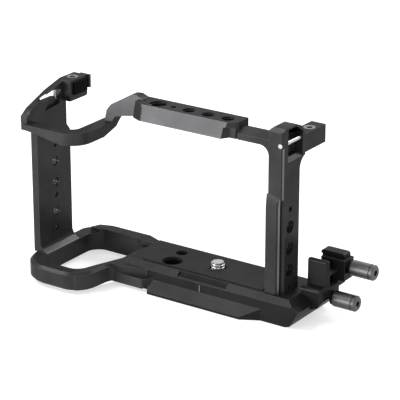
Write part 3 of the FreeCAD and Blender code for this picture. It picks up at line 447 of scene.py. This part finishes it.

# Pillar edge: thin strips laid along the corner between the pillar's front and its outer side.
# The pale one is a painted highlight of the rounded corner, and the dark one beside it on the
# lower, thicker half is painted shade of the step there.
PILLAR_FOOT_Z = 12.1
PILLAR_KNEE_Z = 51.4
PILLAR_STEP_Z = 54.9
PILLAR_UPPER_Z = 55.2
PILLAR_SHOULDER_Z = 77.9
HIGHLIGHT_STRIP_LOWER = ((37.3, -10.48), (37.85, -9.9))
HIGHLIGHT_STRIP_KNEE = ((37.5, -10.27), (37.95, -9.79))
HIGHLIGHT_STRIP_UPPER = ((38.85, -10.05), (39.36, -9.54))
SHADE_STRIP_LOWER = ((37.88, -9.87), (38.38, -9.33))
SHADE_STRIP_KNEE = ((37.98, -9.76), (38.38, -9.33))
HIGHLIGHT_STRIP_PROUD_MM = 0.03
SHADE_STRIP_PROUD_MM = 0.02
BURIED_MM = 0.2
OUTWARD = Vector((math.sqrt(0.5), -math.sqrt(0.5)))
# A paler, metallic copy of the finish is painted highlight, and a near-black copy is painted shade.
painted_highlight_strip = finish("pillar_edge_painted_highlight", "#545455", "#6c6c6d", 0.9, 0.34, 0.05, 0.1, GRIT_MM)
painted_shade_strip = anodised_finish("pillar_step_painted_shade", "#141415", "#1e1e1f", 0.1, 0.5, 0.0, 0.04)
for label, surface, proud_mm, sections in (
    ("pillar_highlight_strip_lower", painted_highlight_strip, HIGHLIGHT_STRIP_PROUD_MM,
     ((HIGHLIGHT_STRIP_LOWER, PILLAR_FOOT_Z), (HIGHLIGHT_STRIP_LOWER, PILLAR_KNEE_Z), (HIGHLIGHT_STRIP_KNEE, PILLAR_STEP_Z))),
    ("pillar_highlight_strip_upper", painted_highlight_strip, HIGHLIGHT_STRIP_PROUD_MM,
     ((HIGHLIGHT_STRIP_UPPER, PILLAR_UPPER_Z), (HIGHLIGHT_STRIP_UPPER, PILLAR_SHOULDER_Z))),
    ("pillar_shade_strip", painted_shade_strip, SHADE_STRIP_PROUD_MM,
     ((SHADE_STRIP_LOWER, PILLAR_FOOT_Z), (SHADE_STRIP_LOWER, PILLAR_KNEE_Z), (SHADE_STRIP_KNEE, PILLAR_STEP_Z))),
):
    rings = []
    for (left, right), z in sections:
        outer = [Vector(left) + OUTWARD * proud_mm, Vector(right) + OUTWARD * proud_mm]
        inner = [Vector(right) - OUTWARD * BURIED_MM, Vector(left) - OUTWARD * BURIED_MM]
        rings.append([(*corner, z) for corner in outer + inner])
    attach(mesh_object(label, lofted(rings), surface), "cage")

# Lens-axis mark: one short line in front, cut through the dye by laser, so that bare pale
# metal shows. It lines up with the tripod screw.
MARK_MM = (0.34, 0.04, 3.2)
MARK_PLACE_MM = (0.0, -14.61, 7.2)
laser_mark = finish("laser_marked_aluminium", "#6c6c6c", "#7c7c7c", 0.0, 0.6, 0.05, 0.1, GRIT_MM)
line = bmesh.new()
bmesh.ops.create_cube(line, size=1.0, matrix=Matrix.Translation(Vector(MARK_PLACE_MM) * MM)
                      @ Matrix.Diagonal([side * MM for side in MARK_MM] + [1.0]))
mark = mesh_object("lens_axis_mark", line, laser_mark)
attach(mark, "cage")

# Threads in the cage: quarter-inch and three-eighths accessory holes, tapped after milling.
# Each is a helical ridge on the wall of its bore, coloured far darker than the frame: painted
# shade of the bore.
INCH_MM = 25.4
QUARTER_PITCH = INCH_MM / 20
LARGE_PITCH = INCH_MM / 16
thread_tree = bpy.data.node_groups.new("thread", "GeometryNodeTree")
thread_tree.interface.new_socket("Geometry", in_out="INPUT", socket_type="NodeSocketGeometry")
for input_name, kind in (("Radius", "NodeSocketFloat"), ("Pitch", "NodeSocketFloat"),
                         ("Turns", "NodeSocketFloat"), ("Ridge", "NodeSocketFloat"),
                         ("Material", "NodeSocketMaterial")):
    thread_tree.interface.new_socket(input_name, in_out="INPUT", socket_type=kind)
thread_tree.interface.new_socket("Geometry", in_out="OUTPUT", socket_type="NodeSocketGeometry")
entry = node(thread_tree, "NodeGroupInput").outputs
height = node(thread_tree, "ShaderNodeMath", operation="MULTIPLY",
              links={0: entry["Pitch"], 1: entry["Turns"]})
helix = node(thread_tree, "GeometryNodeCurveSpiral", values={"Resolution": 20},
             links={"Rotations": entry["Turns"], "Start Radius": entry["Radius"],
                    "End Radius": entry["Radius"], "Height": height.outputs[0]})
profile = node(thread_tree, "GeometryNodeCurvePrimitiveCircle", values={"Resolution": 6},
               links={"Radius": entry["Ridge"]})
swept = node(thread_tree, "GeometryNodeCurveToMesh", values={"Fill Caps": True},
             links={"Curve": helix.outputs[0], "Profile Curve": profile.outputs[0]})
bore_axis = node(thread_tree, "GeometryNodeInputNamedAttribute", data_type="FLOAT_VECTOR",
                 values={"Name": "axis"})
turn = node(thread_tree, "FunctionNodeAlignRotationToVector", axis="Z",
            links={"Vector": bore_axis.outputs[0]})
copies = node(thread_tree, "GeometryNodeInstanceOnPoints",
              links={"Points": entry["Geometry"], "Instance": swept.outputs[0], "Rotation": turn.outputs[0]})
real = node(thread_tree, "GeometryNodeRealizeInstances", links={0: copies.outputs[0]})
smooth = node(thread_tree, "GeometryNodeSetShadeSmooth", links={0: real.outputs[0]})
coated = node(thread_tree, "GeometryNodeSetMaterial",
              links={0: smooth.outputs[0], "Material": entry["Material"]})
node(thread_tree, "NodeGroupOutput", links={0: coated.outputs[0]})


def thread(label, bottoms, axis, radius, pitch, ridge, turns, material):
    """Helical ridges that start at these places and run along the axis, sizes in millimetres."""
    seeds = bpy.data.meshes.new(label)
    seeds.from_pydata([Vector(place) * MM for place in bottoms], [], [])
    along = seeds.attributes.new("axis", "FLOAT_VECTOR", "POINT")
    along.data.foreach_set("vector", list(axis) * len(bottoms))
    piece = added(label, seeds)
    modifier = piece.modifiers.new(label, "NODES")
    modifier.node_group = thread_tree
    inputs = {"Radius": radius * MM, "Pitch": pitch * MM, "Ridge": ridge * MM, "Turns": turns,
              "Material": material}
    for item in thread_tree.interface.items_tree:
        if item.in_out == "INPUT" and item.name in inputs:
            modifier[item.identifier] = inputs[item.name]
    piece.data = applied(piece)
    return piece


PILLAR_BOTTOMS = [(31.9, -4.0, z) for z in (21.5, 31.5, 41.5)]
RAIL_BOTTOMS = [(x, -7.8, 78.4) for x in (-10.0, 0.0, 10.0)]
WALL_BOTTOMS = [(-79.35, *hole) for hole in WALL_HOLES]
# Far darker than the frame's finish: painted shade of the bores.
bore_thread_painted_shade = finish("tapped_anodised_painted_shade", "#121213", "#1e1e1f", 0.2, 0.32, 0.05, 0.15, GRIT_MM,
                **{"Specular IOR Level": 0.3})
for label, bottoms, axis, radius, pitch, ridge, turns in (
    ("threads_pillar", PILLAR_BOTTOMS, (1, 0, 0), 2.95, QUARTER_PITCH, 0.36, 4.8),
    ("threads_rail", RAIL_BOTTOMS, (0, 0, 1), 2.95, QUARTER_PITCH, 0.36, 4.9),
    ("threads_wall", WALL_BOTTOMS, (-1, 0, 0), 2.34, QUARTER_PITCH, 0.28, 2.2),
    ("thread_rail_large", [(-26.0, -7.8, 78.5)], (0, 0, 1), 4.05, LARGE_PITCH, 0.42, 3.9),
    ("thread_base_large", [(-20.7, -5.4, 1.0)], (0, 0, 1), 4.25, LARGE_PITCH, 0.42, 4.0),
):
    piece = thread(label, bottoms, axis, radius, pitch, ridge, turns, bore_thread_painted_shade)
    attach(piece, "cage")

# Rubber pad on the base and the small pads at the strap lugs: moulded black rubber glued in
# shallow pockets. Matt, with a fine moulded grain.
PAD_MIDDLE = Vector((-2.5, -0.5, 0.0))
PAD_RIM_X = (-34.0, 29.9)
PAD_RIM_Y = (-10.4, 9.4)
PAD_GAP_MM = 0.25
SCREW_REACH_MM = 5.0


def trimmed_pad(at):
    """Leaves a narrow gap round the pad's outline, and closes its bore round the screw."""
    if at.to_2d().length < SCREW_REACH_MM:
        return closed_bore(at)
    if PAD_RIM_X[0] <= at.x <= PAD_RIM_X[1] and PAD_RIM_Y[0] <= at.y <= PAD_RIM_Y[1]:
        return at
    side = at - PAD_MIDDLE
    inward = Vector((math.copysign(PAD_GAP_MM, side.x), math.copysign(PAD_GAP_MM, side.y), 0.0))
    return at - inward


deck_rubber = finish("moulded_rubber_sheet", "#1e1e1e", "#282828", 0.0, 0.8, 0.06, 0.5, 0.5,
                     **{"Specular IOR Level": 0.12})
lug_rubber = finish("black_rubber", "#060606", "#0d0d0d", 0.0, 0.85, 0.06, 0.5, 0.4,
                    **{"Specular IOR Level": 0.05})
dressed("base_pad_rubber", "base_pad", deck_rubber, 0.15, reshape=trimmed_pad)
for cad_node in ("lug_pad", "ear_pad"):
    dressed(cad_node + "_rubber", cad_node, lug_rubber, 0.25)

# Grip insert: a glass-filled nylon strip let into the outside of the lower loop, from the
# front of the grip round the waist to the foot. It is a little darker than the metal, and its
# top steps down after the waist.
INSERT_CORNER = Vector((-57.05, -28.3))
INSERT_CORNER_R = 11.0
INSERT_TURNS = (33, 39, 45, 51, 57, 63, 69, 75, 80, 83.66)
INSERT_WAIST = ((-45.75, -26.2), (-45.38, -22.9), (-45.1, -21.3), (-44.7, -20.1), (-44.15, -19.2),
                (-43.4, -18.72))
INSERT_RUN_Y = -18.6
INSERT_RUN_X = (-42.6, -41.8, -41.2, -38.0, -34.0, -28.3)
INSERT_LOW = 1.9
INSERT_HIGH = 9.0
INSERT_TAIL = 6.1
INSERT_PROUD = 0.15
INSERT_DEPTH = -0.6
INSERT_SHARP = math.radians(40.0)
DROP_START = -44.0
DROP_RUN = 2.6
bends = [math.radians(degrees) for degrees in INSERT_TURNS]
route = [INSERT_CORNER + INSERT_CORNER_R * Vector((math.sin(bend), -math.cos(bend))) for bend in bends]
route += [Vector(point) for point in INSERT_WAIST]
route += [Vector((x, INSERT_RUN_Y)) for x in INSERT_RUN_X]
rings = []
for i, point in enumerate(route):
    heading = (route[min(i + 1, len(route) - 1)] - route[max(i - 1, 0)]).normalized()
    out = Vector((heading.y, -heading.x))
    fall = min(max((point.x - DROP_START) / DROP_RUN, 0.0), 1.0)
    top = INSERT_HIGH - (INSERT_HIGH - INSERT_TAIL) * fall * fall * (3.0 - 2.0 * fall)
    section = ((INSERT_PROUD, INSERT_LOW), (INSERT_PROUD, top),
               (INSERT_DEPTH, top), (INSERT_DEPTH, INSERT_LOW))
    rings.append([(*(point + out * depth), z) for depth, z in section])
strip = lofted(rings)
marked(strip, INSERT_SHARP, 1.0)
nylon = finish("glass_filled_nylon", "#2a2a2b", "#353536", 0.0, 0.5, 0.08, 0.3, 0.3,
               **{"Specular IOR Level": 0.16, "IOR": 1.53})
insert = mesh_object("grip_insert_moulded", strip, nylon)
rounded(insert, 0.25)
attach(insert, "cage")
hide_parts("grip_insert")

# Tripod screw: quarter-inch stainless screw, turned and thread-rolled, captive in the base.
# Bright rounded crests with dark roots between them.
THREAD_LOW = 9.6
THREAD_OUTSIDE = 2.7
CORE_SCALE = 0.82


def thread_core(at):
    """Draws the thread's cylinder in to the diameter of its roots."""
    if at.z > THREAD_LOW - NEAR_MM and at.to_2d().length > THREAD_OUTSIDE:
        return Vector((at.x * CORE_SCALE, at.y * CORE_SCALE, at.z))
    return at


stainless = finish("turned_stainless_steel", "#9a9a9a", "#c8c8c8", 1.0, 0.3, 0.06, 0.1, 0.25)
screw = dressed("tripod_screw_turned", "tripod_screw", stainless, 0.3, reshape=thread_core)
stud_thread = thread("tripod_screw_thread", [(0, 0, 9.9)], (0, 0, 1), 2.68, QUARTER_PITCH, 0.47, 3.5,
                     stainless)
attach(stud_thread, "tripod_screw")

# Strap pins and keeper ring: ground steel. The socket screws at the lugs are zinc-plated, a
# duller grey, with their hexagon sockets in deep shade.
zinc = finish("zinc_plated_steel", "#5f5f60", "#7d7d7e", 1.0, 0.36, 0.06, 0.1, 0.25)
for cad_node, steel, edge_mm in (
    ("strap_pin_right", stainless, 0.2), ("strap_pin_left", stainless, 0.2),
    ("screw_keeper", stainless, 0.1), ("lug_screw_left", zinc, 0.25), ("lug_screw_right", zinc, 0.25),
):
    dressed(cad_node + "_steel", cad_node, steel, edge_mm)

# Cable clamp: body and sliding jaw milled from aluminium and anodised black, darker and a
# little glossier than the frame.
black_anodised = anodised_finish("black_anodised_aluminium", "#212122", "#2e2e2f", 0.4, 0.34, 0.3, 0.12)
for cad_node in ("clamp_body", "clamp_jaw"):
    dressed(cad_node + "_milled", cad_node, black_anodised, 0.45)

# Thumb knobs: turned aluminium, clear-anodised to a soft grey sheen, with a hexagon socket in
# the end face. Their washers are blackened steel.
turned_grey = finish("clear_anodised_aluminium", "#484848", "#5c5c5c", 1.0, 0.46, 0.05, 0.12, 0.3)
blackened = finish("blackened_steel", "#1d1d1d", "#2c2c2c", 0.8, 0.4, 0.06, 0.1, 0.3)
for cad_node in ("mount_knob", "lock_knob"):
    dressed(cad_node + "_turned", cad_node, turned_grey, 0.15)
for cad_node in ("mount_washer", "lock_washer"):
    dressed(cad_node + "_steel", cad_node, blackened, 0.1)
